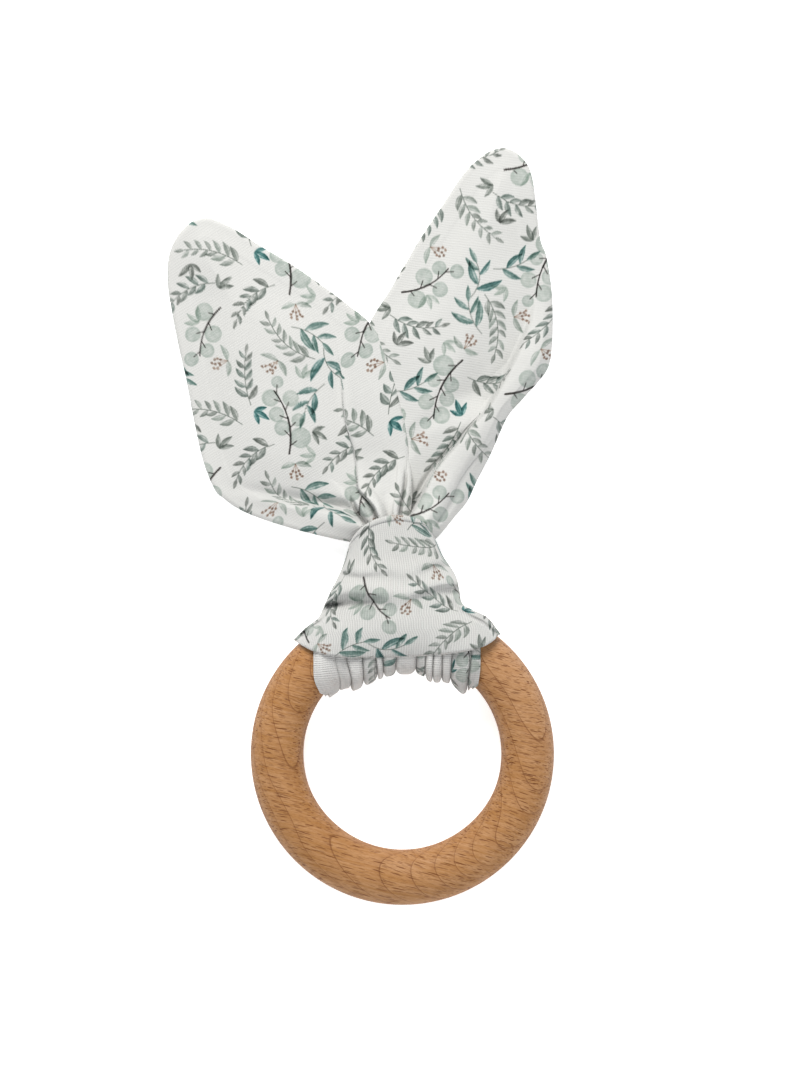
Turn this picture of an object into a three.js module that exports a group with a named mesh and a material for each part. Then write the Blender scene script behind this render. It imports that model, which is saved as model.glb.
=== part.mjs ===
// Teething ring: a beech ring with a printed jersey strip tied to it by a lark's-head hitch.
// Units are millimetres, +Z is up. It lies on its back: ears towards +Y, ring towards -Y.
import * as THREE from 'three';

// ---- Wooden ring ----
const RING_OUTER_DIAMETER = 70;
const RIM_RADIUS = 6.1; // half the thickness of the round rim
const RIM_CENTRE_RADIUS = RING_OUTER_DIAMETER / 2 - RIM_RADIUS;
const RING_PROFILE_POINTS = 16;
const RING_SEGMENTS = 60;

// ---- Cloth ----
const CLOTH = 0.9; // one layer of the strip
const LAYER_GAP = 0.3;
const SEAM_ROOM = 1.2; // space between the layers where the seam thread runs
const THREAD_RADIUS = 0.3;
const THREAD_CURVE_STEPS = 3; // per half of the thread's outline

// ---- Legs of the hitch, wrapped round the rim ----
const WRAP_INNER = RIM_RADIUS + 0.4;
const WRAP_OUTER = 8.75;
const FOLD_HEIGHT = 0.35; // ripple of the gathers on the outer layer
const FOLDS_PER_LEG = 6;
const WRAP_FRONT_DEG = 82; // measured from the rim's outer side over its front
const WRAP_BACK_DEG = 330;
const LEFT_LEG_DEG = [-46, -1];
const RIGHT_LEG_DEG = [1, 43];

// ---- How the tied ring lies ----
// The far side of the ring touches the table, and so do the outer ends of the two legs.
const WRAP_REACH = WRAP_OUTER + FOLD_HEIGHT;
const LEG_END_Y = RIM_CENTRE_RADIUS * Math.cos(THREE.MathUtils.degToRad(LEFT_LEG_DEG[0]));
const TILT = Math.atan((WRAP_REACH - RIM_RADIUS) / (RIM_CENTRE_RADIUS + LEG_END_Y));
const RING_HEIGHT = RIM_CENTRE_RADIUS * Math.sin(TILT) + RIM_RADIUS * Math.cos(TILT);

// ---- Bridge: the middle of the strip, pulled over the two tails ----
const BRIDGE_CENTRE = [-1.5, 35];
const BRIDGE_OVER_RIM = 9.5; // radius of its underside about the rim's centre line
const BRIDGE_SIDE_DROP = 5;
const BRIDGE_SEAM_ROOM = 1.5; // wider, because the layers slope here
const BRIDGE_OUTLINE = [
  [-25, 26.2], [-20, 23.8], [-14, 22.6], [-1.3, 22.4], [6, 22.8], [14, 24], [22.7, 27.8],
  [19.9, 31.4], [16.3, 33.4], [13.9, 35.2], [12.3, 41.4], [9.5, 45.4], [7.4, 50.6],
  [4.8, 53.2], [-0.6, 54.8], [-8, 53.2], [-12.5, 49.4], [-14.5, 41.8], [-18.5, 33.8],
];
const BRIDGE_SIDES = [ // y, left edge, right edge, height of the crown
  [34, -18.4, 15, 8.9],
  [42, -14.5, 12.2, 5.6],
  [49, -12.7, 8, 2.9],
  [56, -9, 5, 0.9],
];

// ---- Tails: the gathered cloth between the rim and the ears ----
const TAIL_START_RADIUS = 38.6;
const TAIL_END_Y = 52.2;
const TAIL_BOTTOM = -9.2;
const TAIL_MIDDLE = -4.6;
const LEFT_TAIL_X = { start: [-16, -1.2], end: [-11, 1.1] };
const RIGHT_TAIL_X = { start: [-0.6, 13], end: [1.7, 6.6] };

// ---- Ears: both flop about one line across the neck ----
const NECK_AXIS_Y = 57.5;
const NECK_AXIS_Z = 4.5;
const NECK_ROUNDING = 4.3;
const NECK_REACH = 17; // how far the gathers run into an ear
const EAR_SEAM_HEIGHT = 2.6;
const GATHERED_CLOTH = 3.7; // bunched layer at the neck
const LEFT_EAR = {
  centre: [-22, 80],
  puff: 2.6,
  outline: [
    [-11.6, 53.9], [-6, 53.8], [1.5, 53.8], [2.2, 62], [1.4, 69], [0.5, 76], [-0.9, 82.2],
    [-4.5, 94.3], [-9, 100.6], [-17.7, 107.7], [-32.5, 117.5], [-43.8, 123.6], [-49.6, 122.6],
    [-54.3, 110], [-52.5, 95], [-50.1, 86], [-46.2, 67.8], [-43.4, 61], [-32.7, 54.6],
    [-24.3, 52.2], [-16.5, 50.8], [-13.8, 52.6],
  ],
};
const RIGHT_EAR = {
  centre: [14.5, 94],
  puff: 3,
  outline: [
    [2.8, 53.8], [5, 53.8], [7.8, 54.2], [12.6, 57], [17.2, 64], [21.7, 73.4], [27.9, 82.1],
    [34.2, 91.3], [34.8, 103.4], [32, 119.2], [30.2, 133.4], [27, 138.8], [22.4, 140],
    [14.3, 134.5], [4, 119], [-2.6, 106.6], [-5.8, 101.2], [-3, 94.8], [0.4, 83],
    [1.8, 76], [2.7, 69], [3.4, 62],
  ],
};
const OUTLINE_POINTS = 40;
const RINGS = [0.22, 0.45, 0.68, 0.87, 1];

const group = new THREE.Group();
group.name = 'teething_ring';

const lying = new THREE.Group(); // everything, measured from under the ring's centre
lying.name = 'lying_flat';
group.add(lying);

const tied = new THREE.Group(); // the ring and the hitch, which share the ring's tilt
tied.name = 'tied_ring';
tied.rotation.x = TILT;
tied.position.z = RING_HEIGHT;
lying.add(tied);

const WOOD = { color: 0xc49468, roughness: 0.45, metalness: 0 };
const JERSEY = { color: 0xe9e8e5, roughness: 0.9, metalness: 0 };
const THREAD = { color: 0xf2f1ee, roughness: 0.8, metalness: 0 };

function addPiece(parent, name, geometry, look) {
  const mesh = new THREE.Mesh(geometry, new THREE.MeshStandardMaterial(look));
  mesh.name = name;
  parent.add(mesh);
}

function smoothstep(low, high, value) {
  const t = Math.min(1, Math.max(0, (value - low) / (high - low)));
  return t * t * (3 - 2 * t);
}

function lerp(a, b, t) {
  return a + (b - a) * t;
}

// Reads one column of a table whose first column rises, with straight lines in between.
function readTable(table, key, column) {
  let row = 0;
  while (row < table.length - 2 && key > table[row + 1][0]) row += 1;
  const t = (key - table[row][0]) / (table[row + 1][0] - table[row][0]);
  return lerp(table[row][column], table[row + 1][column], Math.min(1, Math.max(0, t)));
}

function makeGeometry(points, triangles) {
  const geometry = new THREE.BufferGeometry();
  geometry.setAttribute('position', new THREE.Float32BufferAttribute(points.flat(), 3));
  geometry.setIndex(triangles.flat());
  geometry.computeVertexNormals();
  return geometry;
}

// A closed slab over a star-shaped outline; top and bottom give heights at a point.
function slab(centre, outline, top, bottom) {
  const count = outline.length;
  const points = [];
  for (const height of [top, bottom]) {
    points.push([centre[0], centre[1], height(centre[0], centre[1], 0)]);
    for (const ring of RINGS) {
      for (const [px, py] of outline) {
        const x = lerp(centre[0], px, ring);
        const y = lerp(centre[1], py, ring);
        points.push([x, y, height(x, y, ring)]);
      }
    }
  }
  const side = 1 + RINGS.length * count;
  const at = (face, ring, step) => face * side + 1 + ring * count + (step % count);
  const triangles = [];
  for (let step = 0; step < count; step += 1) {
    triangles.push([0, at(0, 0, step), at(0, 0, step + 1)]);
    triangles.push([side, at(1, 0, step + 1), at(1, 0, step)]);
    for (let ring = 0; ring < RINGS.length - 1; ring += 1) {
      const [a, b] = [at(0, ring, step), at(0, ring, step + 1)];
      const [c, d] = [at(0, ring + 1, step), at(0, ring + 1, step + 1)];
      triangles.push([a, c, d], [a, d, b]);
      const [e, f] = [at(1, ring, step), at(1, ring, step + 1)];
      const [g, h] = [at(1, ring + 1, step), at(1, ring + 1, step + 1)];
      triangles.push([e, h, g], [e, f, h]);
    }
    const last = RINGS.length - 1;
    const [a, b] = [at(0, last, step), at(0, last, step + 1)];
    const [c, d] = [at(1, last, step), at(1, last, step + 1)];
    triangles.push([a, c, d], [a, d, b]);
  }
  return makeGeometry(points, triangles);
}

// A closed sheet between two surfaces that are functions of u and v from 0 to 1.
function sheet(outer, inner, uSteps, vSteps) {
  const points = [];
  for (const surface of [outer, inner]) {
    for (let j = 0; j <= vSteps; j += 1) {
      for (let i = 0; i <= uSteps; i += 1) points.push(surface(i / uSteps, j / vSteps));
    }
  }
  const side = (uSteps + 1) * (vSteps + 1);
  const at = (face, i, j) => face * side + j * (uSteps + 1) + i;
  const triangles = [];
  for (let j = 0; j < vSteps; j += 1) {
    for (let i = 0; i < uSteps; i += 1) {
      const [a, b, c, d] = [at(0, i, j), at(0, i + 1, j), at(0, i + 1, j + 1), at(0, i, j + 1)];
      triangles.push([a, b, c], [a, c, d]);
      const [e, f, g, h] = [at(1, i, j), at(1, i + 1, j), at(1, i + 1, j + 1), at(1, i, j + 1)];
      triangles.push([e, g, f], [e, h, g]);
    }
  }
  const edge = [];
  for (let i = 0; i < uSteps; i += 1) edge.push([i, 0]);
  for (let j = 0; j < vSteps; j += 1) edge.push([uSteps, j]);
  for (let i = uSteps; i > 0; i -= 1) edge.push([i, vSteps]);
  for (let j = vSteps; j > 0; j -= 1) edge.push([0, j]);
  edge.forEach(([i, j], n) => {
    const [k, l] = edge[(n + 1) % edge.length];
    triangles.push([at(0, k, l), at(0, i, j), at(1, i, j)]);
    triangles.push([at(0, k, l), at(1, i, j), at(1, k, l)]);
  });
  return makeGeometry(points, triangles);
}

function smoothOutline(corners, count) {
  const curve = new THREE.CatmullRomCurve3(
    corners.map(([x, y]) => new THREE.Vector3(x, y, 0)), true, 'centripetal');
  return curve.getSpacedPoints(count).slice(0, count).map((p) => [p.x, p.y]);
}

// A seam thread between two slabs, halfway across their outermost ring of faces.
function threadAlongEdge(centre, outline, first, last, heightAt) {
  const [inner, outer] = RINGS.slice(-2);
  const points = [];
  for (let step = first; step <= last; step += 1) {
    const [px, py] = outline[step];
    const ends = [inner, outer].map((ring) => {
      const x = lerp(centre[0], px, ring);
      const y = lerp(centre[1], py, ring);
      return new THREE.Vector3(x, y, heightAt(x, y));
    });
    points.push(ends[0].lerp(ends[1], 0.5));
  }
  const section = new THREE.Shape();
  section.absarc(0, 0, THREAD_RADIUS, 0, 2 * Math.PI, false);
  return new THREE.ExtrudeGeometry(section, {
    extrudePath: new THREE.CatmullRomCurve3(points),
    steps: 2 * (last - first),
    curveSegments: THREAD_CURVE_STEPS,
    bevelEnabled: false,
  });
}

function nearestStep(outline, [x, y]) {
  const distances = outline.map(([px, py]) => Math.hypot(px - x, py - y));
  return distances.indexOf(Math.min(...distances));
}

// ---- Wooden ring ----
const rimProfile = [];
for (let i = 0; i <= RING_PROFILE_POINTS; i += 1) {
  const angle = (2 * Math.PI * i) / RING_PROFILE_POINTS;
  rimProfile.push(new THREE.Vector2(
    RIM_CENTRE_RADIUS + RIM_RADIUS * Math.cos(angle), RIM_RADIUS * Math.sin(angle)));
}
const ringGeometry = new THREE.LatheGeometry(rimProfile, RING_SEGMENTS);
ringGeometry.rotateX(Math.PI / 2);
addPiece(tied, 'wooden_ring', ringGeometry, WOOD);

// ---- Legs wrapped round the rim ----
function aroundRim(legDeg, radiusAt) {
  return (u, v) => {
    const turn = THREE.MathUtils.degToRad(lerp(legDeg[1], legDeg[0], u));
    const wrap = THREE.MathUtils.degToRad(lerp(WRAP_FRONT_DEG, WRAP_BACK_DEG, v));
    const radius = radiusAt(u);
    const out = RIM_CENTRE_RADIUS + radius * Math.cos(wrap);
    return [out * Math.sin(turn), out * Math.cos(turn), radius * Math.sin(wrap)];
  };
}

function addLeg(side, legDeg) {
  const fold = (u) => FOLD_HEIGHT * Math.cos(2 * Math.PI * FOLDS_PER_LEG * u);
  const crest = aroundRim(legDeg, (u) => WRAP_OUTER + fold(u));
  const middleOut = aroundRim(legDeg, () => WRAP_INNER + CLOTH + LAYER_GAP);
  const middleIn = aroundRim(legDeg, () => WRAP_INNER + CLOTH);
  const inside = aroundRim(legDeg, () => WRAP_INNER);
  addPiece(tied, `${side}_leg_outer_panel`, sheet(crest, middleOut, 24, 10), JERSEY);
  addPiece(tied, `${side}_leg_inner_panel`, sheet(middleIn, inside, 12, 10), JERSEY);
}

addLeg('left', LEFT_LEG_DEG);
addLeg('right', RIGHT_LEG_DEG);

// ---- Bridge over the tails ----
function bridgeUnderside(x, y) {
  const offRim = Math.hypot(x, y) - RIM_CENTRE_RADIUS;
  const overRim = Math.sqrt(Math.max(0, BRIDGE_OVER_RIM ** 2 - offRim ** 2));
  const left = readTable(BRIDGE_SIDES, y, 1);
  const right = readTable(BRIDGE_SIDES, y, 2);
  const across = Math.abs((2 * x - left - right) / (right - left));
  const overTails = readTable(BRIDGE_SIDES, y, 3) - BRIDGE_SIDE_DROP * Math.min(across, 1) ** 3;
  return y > BRIDGE_SIDES[0][0] ? Math.max(overRim, overTails) : Math.max(overRim, 2);
}

const bridgeOutline = smoothOutline(BRIDGE_OUTLINE, OUTLINE_POINTS);
const bridgeGap = (ring) => lerp(LAYER_GAP, BRIDGE_SEAM_ROOM, smoothstep(0.6, 0.85, ring));
addPiece(tied, 'bridge_inner_panel', slab(
  BRIDGE_CENTRE,
  bridgeOutline,
  (x, y) => bridgeUnderside(x, y) + CLOTH,
  bridgeUnderside,
), JERSEY);
addPiece(tied, 'bridge_outer_panel', slab(
  BRIDGE_CENTRE,
  bridgeOutline,
  (x, y, ring) => bridgeUnderside(x, y) + 2 * CLOTH + bridgeGap(ring),
  (x, y, ring) => bridgeUnderside(x, y) + CLOTH + bridgeGap(ring),
), JERSEY);

// The strip's two seamed edges cross the bridge along its bottom and its top.
function addBridgeSeam(name, firstCorner, lastCorner) {
  const first = nearestStep(bridgeOutline, BRIDGE_OUTLINE[firstCorner]) + 1;
  const last = nearestStep(bridgeOutline, BRIDGE_OUTLINE[lastCorner]) - 1;
  const height = (x, y) => bridgeUnderside(x, y) + CLOTH + BRIDGE_SEAM_ROOM / 2;
  addPiece(tied, name,
    threadAlongEdge(BRIDGE_CENTRE, bridgeOutline, first, last, height), THREAD);
}
addBridgeSeam('bridge_lower_seam', 0, 6);
addBridgeSeam('bridge_upper_seam', 12, 16);

// ---- Tails, gathered behind the bridge ----
function addTail(side, tail) {
  const plan = (u, v) => {
    const startX = lerp(tail.start[0], tail.start[1], u);
    const startY = Math.sqrt(TAIL_START_RADIUS ** 2 - startX ** 2);
    return [lerp(startX, lerp(tail.end[0], tail.end[1], u), v), lerp(startY, TAIL_END_Y, v)];
  };
  const surface = (heightAt) => (u, v) => {
    const [x, y] = plan(u, v);
    return [x, y, heightAt(x, y, u)];
  };
  const crown = (x, y) => Math.min(bridgeUnderside(x, y) - 0.5, TAIL_MIDDLE + 6.5);
  const ripple = (u) => 0.3 * Math.cos(6 * Math.PI * u);
  addPiece(tied, `${side}_tail_front_panel`, sheet(
    surface((x, y) => crown(x, y)),
    surface(() => TAIL_MIDDLE + LAYER_GAP / 2), 10, 5), JERSEY);
  addPiece(tied, `${side}_tail_back_panel`, sheet(
    surface(() => TAIL_MIDDLE - LAYER_GAP / 2),
    surface((x, y, u) => TAIL_BOTTOM + 0.3 + ripple(u)), 10, 5), JERSEY);
}

addTail('left', LEFT_TAIL_X);
addTail('right', RIGHT_TAIL_X);

// ---- Ears ----
function addEar(side, ear, shapeAt) {
  const neckX = side === 'left' ? -5 : 5;
  const gather = (x, y) => 1 - smoothstep(0, NECK_REACH, Math.hypot(x - neckX, y - 55));
  const middle = (x, y) => EAR_SEAM_HEIGHT + (NECK_AXIS_Z - EAR_SEAM_HEIGHT) * gather(x, y);
  const layer = (x, y) => lerp(CLOTH, GATHERED_CLOTH, gather(x, y));
  const rounding = (y) => {
    const inset = Math.max(0, NECK_AXIS_Y - y);
    return Math.sqrt(Math.max(1, NECK_ROUNDING ** 2 - inset ** 2));
  };
  const frontUnder = (x, y, ring) => {
    const puff = (ear.puff + shapeAt(x, y)) * (1 - ring ** 3);
    return middle(x, y) + SEAM_ROOM / 2 + puff * (1 - gather(x, y));
  };
  const frontTop = (x, y, ring) => {
    const height = frontUnder(x, y, ring) + layer(x, y);
    return y < NECK_AXIS_Y ? Math.min(height, NECK_AXIS_Z + rounding(y)) : height;
  };
  const backUnder = (x, y, ring) => {
    const rise = middle(x, y) - SEAM_ROOM / 2 - layer(x, y);
    const height = rise * smoothstep(0.68, 1, ring);
    return y < NECK_AXIS_Y ? Math.max(height, NECK_AXIS_Z - rounding(y)) : height;
  };
  const backTop = (x, y, ring) => {
    const rise = middle(x, y) - SEAM_ROOM / 2 - layer(x, y);
    return rise * smoothstep(0.68, 1, ring) + layer(x, y);
  };
  const outline = smoothOutline(ear.outline, OUTLINE_POINTS);
  addPiece(lying, `${side}_ear_front_panel`, slab(ear.centre, outline, frontTop, frontUnder), JERSEY);
  addPiece(lying, `${side}_ear_back_panel`, slab(ear.centre, outline, backTop, backUnder), JERSEY);

  // The seam runs from the neck up one edge, round the tip and down the other.
  const first = nearestStep(outline, ear.outline[2]) + 1;
  addPiece(lying, `${side}_ear_seam`,
    threadAlongEdge(ear.centre, outline, first, OUTLINE_POINTS - 1, middle), THREAD);
}

// A tuck raises the inner half of the left ear.
const TUCK = [[62, -10.4], [68, -10.6], [76, -12.7], [87, -13.6], [100, -14]];
addEar('left', LEFT_EAR, (x, y) => 1.5 * smoothstep(-1, 1, (x - readTable(TUCK, y, 1)) / 2));

// The outer edge of the right ear is cupped forwards, with a trough beside it.
const CREASE = [[56, 1.5], [69, 10], [77, 16.4], [88, 24.3], [98, 29], [120, 33]];
addEar('right', RIGHT_EAR, (x, y) => {
  const past = x - readTable(CREASE, y, 1);
  return 2.5 * smoothstep(-1, 3, past) - 1.2 * Math.exp(-((past + 7) ** 2) / 40);
});

// The origin is the centre of the bounding box, on the table.
const box = new THREE.Box3().setFromObject(group, true);
lying.position.set(-(box.min.x + box.max.x) / 2, -(box.min.y + box.max.y) / 2, -box.min.z);

export default group;
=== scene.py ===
"""A teething ring: a beech ring with a printed jersey strip tied to it by a lark's-head hitch."""
import math

import bpy
import numpy as np
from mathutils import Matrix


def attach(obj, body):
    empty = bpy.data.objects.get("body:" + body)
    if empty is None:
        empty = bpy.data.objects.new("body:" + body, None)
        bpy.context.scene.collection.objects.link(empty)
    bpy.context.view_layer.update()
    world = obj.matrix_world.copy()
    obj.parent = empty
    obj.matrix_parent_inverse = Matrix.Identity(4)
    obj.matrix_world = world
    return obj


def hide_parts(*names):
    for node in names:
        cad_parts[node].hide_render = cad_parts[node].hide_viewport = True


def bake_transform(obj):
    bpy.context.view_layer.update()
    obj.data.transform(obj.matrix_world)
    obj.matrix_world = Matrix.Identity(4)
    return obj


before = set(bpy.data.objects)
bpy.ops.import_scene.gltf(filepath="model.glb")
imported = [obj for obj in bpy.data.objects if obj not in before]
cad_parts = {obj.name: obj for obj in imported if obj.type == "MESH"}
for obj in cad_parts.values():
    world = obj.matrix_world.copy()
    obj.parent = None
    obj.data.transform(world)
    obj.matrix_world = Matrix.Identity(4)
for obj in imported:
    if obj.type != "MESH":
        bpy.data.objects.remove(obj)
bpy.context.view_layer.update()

# Lengths are in millimetres, measured from the surface under the ring's centre: +Y runs to the
# ears and +Z is up. make_object() turns them into metres in the row's frame.
MM = 0.001
RING_AT = (9.708, -52.339)  # the ring's centre in the row's frame
RING_LIFT = 7.856  # height of the ring's centre
TILT = 0.06118  # the knot end of the ring is lifted by the cloth under it

# Ring
RIM_R = 6.1
RIM_CENTRE_R = 28.9

# Cloth
EDGE_HALF = 0.85  # half the thickness of the turned edge
BACK_SHIFT = (13.0, 7.0)  # how far the back panel's print is from the front panel's
CLEAR_R = 6.78  # the legs stay this far from the middle of the rim
CUFF_R = 6.8  # the same at the legs' outer edges
UNPRINTED_SHARE = 0.85  # how much of the unprinted side's colour shows
EAR_RINGS = 190  # rings of the ears' meshes
DETAIL = 1.0


# ---------------- numbers and curves
def smoothstep(low, high, value):
    t = np.clip((value - low) / (high - low), 0, 1)
    return t * t * (3 - 2 * t)


def mix(a, b, t):
    return a + (b - a) * t


def rotated(x, y, angle):
    c, s = math.cos(angle), math.sin(angle)
    return x * c - y * s, x * s + y * c


def dome(squared):
    """Height of a unit dome, from the square of the distance to its middle."""
    return np.sqrt(np.clip(1 - squared, 0, 1))


def unit(vectors):
    return vectors / np.linalg.norm(vectors, axis=-1, keepdims=True)


def lengths_along(points, axis=0):
    """Length walked to each point from the first one along an axis."""
    steps = np.linalg.norm(np.diff(points, axis=axis), axis=-1)
    return np.insert(np.cumsum(steps, axis), 0, 0, axis)


def table(x, pairs):
    """Smooth reading of a table of (x, value) pairs."""
    xs, ys = np.array(pairs, float).T
    i = np.clip(np.searchsorted(xs, x) - 1, 0, len(xs) - 2)
    slope = np.gradient(ys, xs)
    h = xs[i + 1] - xs[i]
    t = np.clip((x - xs[i]) / h, 0, 1)
    a = (1 + 2 * t) * (1 - t) ** 2 * ys[i] + t * (1 - t) ** 2 * h * slope[i]
    b = t * t * (3 - 2 * t) * ys[i + 1] + t * t * (t - 1) * h * slope[i + 1]
    return a + b


def spline(corners, count, closed=True):
    """Points evenly spaced along a Catmull-Rom curve through the corners."""
    p = np.array(corners, float)
    if closed:
        p = np.vstack([p[-1], p, p[:2]])
    else:
        p = np.vstack([2 * p[0] - p[1], p, 2 * p[-1] - p[-2]])
    t = np.linspace(0, 1, 40, endpoint=False)[:, None]
    parts = []
    for a, b, c, d in zip(p[:-3], p[1:-2], p[2:-1], p[3:]):
        parts.append(0.5 * (2 * b + (c - a) * t + (2 * a - 5 * b + 4 * c - d) * t**2
                            + (3 * b - a - 3 * c + d) * t**3))
    line = np.vstack(parts + [p[-2][None]])
    length = lengths_along(line)
    at = np.linspace(0, length[-1], count, endpoint=not closed)
    return np.stack([np.interp(at, length, line[:, k]) for k in range(line.shape[1])], 1)


def hashed(i, j, seed):
    n = (i.astype(np.int64) * 374761393 + j.astype(np.int64) * 668265263 + seed * 144269) & 0x7FFFFFFF
    n = (n ^ (n >> 13)) * 1274126177 & 0x7FFFFFFF
    return ((n ^ (n >> 16)) & 0xFFFF) / 65535.0


def noise(x, y, size, seed):
    """Smooth noise from -1 to 1 with features about `size` across."""
    x, y = x / size, y / size
    i, j = np.floor(x), np.floor(y)
    s, t = smoothstep(0, 1, x - i), smoothstep(0, 1, y - j)
    low = mix(hashed(i, j, seed), hashed(i + 1, j, seed), s)
    high = mix(hashed(i, j + 1, seed), hashed(i + 1, j + 1, seed), s)
    return 2 * mix(low, high, t) - 1


# ---------------- the botanical print
def linear(r, g, b):
    """A colour given as 0 to 255 sRGB, in linear light."""
    c = np.array([r, g, b]) / 255
    return np.where(c < 0.04045, c / 12.92, ((c + 0.055) / 1.055) ** 2.4)


CLOTH_WHITE = linear(206, 206, 203)
UNPRINTED_BACK_WITH_PAINTED_LIGHT = linear(220, 219, 216)  # the unprinted side, paler than the printed side's ground: painted light that lifts the gathers lying in shade under the bridge
TEAL = linear(78, 113, 106)
DEEP_TEAL = linear(28, 80, 80)
SAGE = linear(170, 186, 177)
GREY_GREEN = linear(108, 117, 111)
TWIG = linear(50, 47, 45)
BERRY = linear(146, 114, 96)

# The print is a generic leafy one: sprigs of a few common kinds, fitted into a square repeat
# by chance, each turned its own way.
PRINT_SEED = 4
REPEAT = 37.0
SPRIG_REACH = 13.0


def leaf(start, tip, half, ink, density, bend=0.0):
    """An almond leaf; `bend` bows it to its left by that share of its length."""
    return dict(kind="leaf", path=(start, tip), half=half, ink=ink, density=density, bend=bend)


def stem(path, half, ink=TWIG, density=0.7):
    return dict(kind="stem", path=path, half=half, ink=ink, density=density)


def dot(centre, radius, ink, density):
    return dict(kind="dot", path=(centre,), half=radius, ink=ink, density=density)


def heading(angle, length):
    return length * np.array([math.cos(angle), math.sin(angle)])


def on_stem(length, bow, share):
    """A place on a bowed stem and the stem's direction there."""
    t = share - 0.5
    return np.array([length * t, 0.5 * length * bow * t * t]), bow * t


def stem_path(length, bow, first, last, count):
    return [on_stem(length, bow, share)[0] for share in np.linspace(first, last, count)]


def leafy_stem(rng, length, pairs, long, slim, inks, density):
    """A bowed stem with leaves in pairs that shrink towards the leaf at its tip."""
    bow = rng.uniform(0.5, 1.3) * rng.choice((-1, 1))
    marks = [stem(stem_path(length, bow, 0, 1, 7), 0.07, GREY_GREEN)]
    for k in range(2 * pairs):
        share = (k // 2 + 0.6 + 0.3 * (k % 2)) / (pairs + 0.4)
        side = 1 if k % 2 else -1
        place, ahead = on_stem(length, bow, share)
        size = long * (1.15 - 0.45 * share) * rng.uniform(0.85, 1.1)
        tip = place + heading(ahead + side * rng.uniform(0.50, 0.85), size)
        ink = mix(inks[0], inks[1], rng.uniform(0, 1))
        marks.append(leaf(place, tip, slim * size, ink, density, side * 0.07))
    place, ahead = on_stem(length, bow, 1.0)
    marks.append(leaf(place, place + heading(ahead, 0.7 * long), 0.7 * slim * long, inks[0], density))
    return marks


def coin_leaf_twig(rng, length, coins):
    """A dark twig with round, see-through leaves on short stalks, left and right by turns."""
    bow = rng.uniform(0.4, 0.9) * rng.choice((-1, 1))
    leaves, stalks = [], []
    for k in range(coins):
        place, ahead = on_stem(length, bow, (k + 0.8) / (coins + 0.2))
        way = ahead + (1 if k % 2 else -1) * rng.uniform(0.7, 1.1)
        radius = rng.uniform(1.5, 2.3) * (1.1 - 0.3 * k / coins)
        end = place + heading(way, rng.uniform(1.3, 2.2))
        ink = mix(SAGE, TEAL, rng.uniform(0, 0.3))
        leaves.append(dot(end + heading(way, 0.5 * radius), radius, ink, 0.56))
        stalks.append(stem([place, end], 0.09))
    for first, last, half in ((0.0, 0.55, 0.19), (0.55, 1.0, 0.12)):
        stalks.append(stem(stem_path(length, bow, first, last, 5), half, density=0.85))
    return leaves + stalks


def berry_spray(rng, stalks):
    """Fine stalks from one foot with a few berries up each, between two pale leaves."""
    marks = []
    for side in (-1, 1):
        tip = heading(side * rng.uniform(1.1, 1.5), rng.uniform(3.4, 4.4))
        ink = mix(SAGE, GREY_GREEN, rng.uniform(0.1, 0.5))
        marks.append(leaf(np.zeros(2), tip, 0.62, ink, 0.9, 0.08 * side))
    for k in range(stalks):
        way = 1.1 * ((k + 0.5) / stalks - 0.5)
        reach = rng.uniform(3.0, 4.6)
        marks.append(stem([np.zeros(2), heading(way, reach)], 0.05, BERRY, 0.6))
        for share in (0.55, 0.8, 1.0):
            centre = heading(way + rng.uniform(-0.12, 0.12), share * reach)
            marks.append(dot(centre, 0.27, mix(BERRY, TWIG, rng.uniform(0, 0.5)), 0.95))
    return marks


def sprout(rng, long, ink):
    """Three little leaves from one foot."""
    marks = []
    for way in (-0.75, 0.0, 0.75):
        size = long * rng.uniform(0.8, 1.15)
        tip = heading(way + rng.uniform(-0.15, 0.15), size)
        marks.append(leaf(np.zeros(2), tip, 0.16 * size, ink, 0.85, 0.05))
    return marks


def turned(marks, angle):
    return [dict(mark, path=[rotated(x, y, angle) for x, y in mark["path"]]) for mark in marks]


def wrapped(distance):
    """The same distance the short way round the repeat."""
    return (distance + REPEAT / 2) % REPEAT - REPEAT / 2


def arrange(rng, sprigs):
    """Fit the sprigs into the repeat, each where it keeps farthest from those before it."""
    placed, taken = [], np.zeros((0, 2))
    for marks in sprigs:
        best_gap = -1.0
        for _ in range(250):
            place, way = rng.uniform(0, REPEAT, 2), rng.uniform(0, 2 * math.pi)
            tried = turned(marks, way)
            ends = np.array([mark["path"][end] for mark in tried for end in (0, -1)]) + place
            apart = wrapped(ends[:, None] - taken)
            gap = np.hypot(apart[..., 0], apart[..., 1]).min(initial=99.0)
            if gap > best_gap:
                best_gap, best = gap, (place, tried, ends)
        placed.append(best[:2])
        taken = np.vstack([taken, best[2]])
    return placed


def draw_sprigs():
    rng = np.random.RandomState(PRINT_SEED)
    greys, teals = (GREY_GREEN, mix(GREY_GREEN, SAGE, 0.6)), (TEAL, mix(TEAL, DEEP_TEAL, 0.8))
    darks = (mix(GREY_GREEN, TWIG, 0.4), mix(GREY_GREEN, TEAL, 0.4))
    sprigs = [coin_leaf_twig(rng, 15.0, 7), coin_leaf_twig(rng, 12.0, 5)]
    sprigs += [leafy_stem(rng, 14.0, 6, 3.4, 0.17, greys, 0.85) for _ in range(2)]
    sprigs += [leafy_stem(rng, 12.0, 5, 3.4, 0.17, darks, 0.85) for _ in range(3)]
    sprigs += [leafy_stem(rng, 8.0, 2, 5.6, 0.135, teals, 0.9) for _ in range(3)]
    sprigs += [berry_spray(rng, 3) for _ in range(3)]
    sprout_inks = (DEEP_TEAL, SAGE, GREY_GREEN, SAGE, darks[0], SAGE, GREY_GREEN)
    sprigs += [sprout(rng, 3.6, ink) for ink in sprout_inks]
    return arrange(rng, sprigs)


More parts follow.
